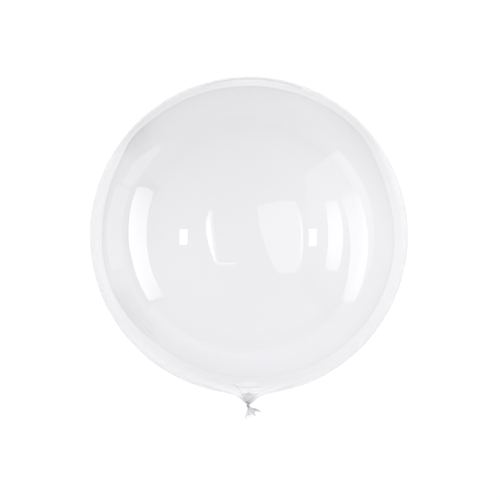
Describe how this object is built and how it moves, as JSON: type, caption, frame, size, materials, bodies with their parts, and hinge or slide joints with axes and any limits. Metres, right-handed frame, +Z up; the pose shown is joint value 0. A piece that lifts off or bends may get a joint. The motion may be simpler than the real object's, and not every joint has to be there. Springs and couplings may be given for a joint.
{
  "type": "clear bubble balloon",
  "caption": "Clear round bubble balloon of stretched film, tied off in a small knot with a splayed tail, lying on its side.",
  "frame": {"origin": "middle of the small flat spot that the balloon lies on", "axes": "+Z up, away from the surface it lies on; the neck, knot and tail point along -Y from the round body"},
  "size_m": [0.5, 0.5381, 0.4982],
  "materials": {
    "clear_film": "clear, glossy stretched plastic film, whiter where it is gathered at the knot"
  },
  "bodies": {
    "root": {"bubble_balloon": "clear_film"}
  },
  "joints": []
}
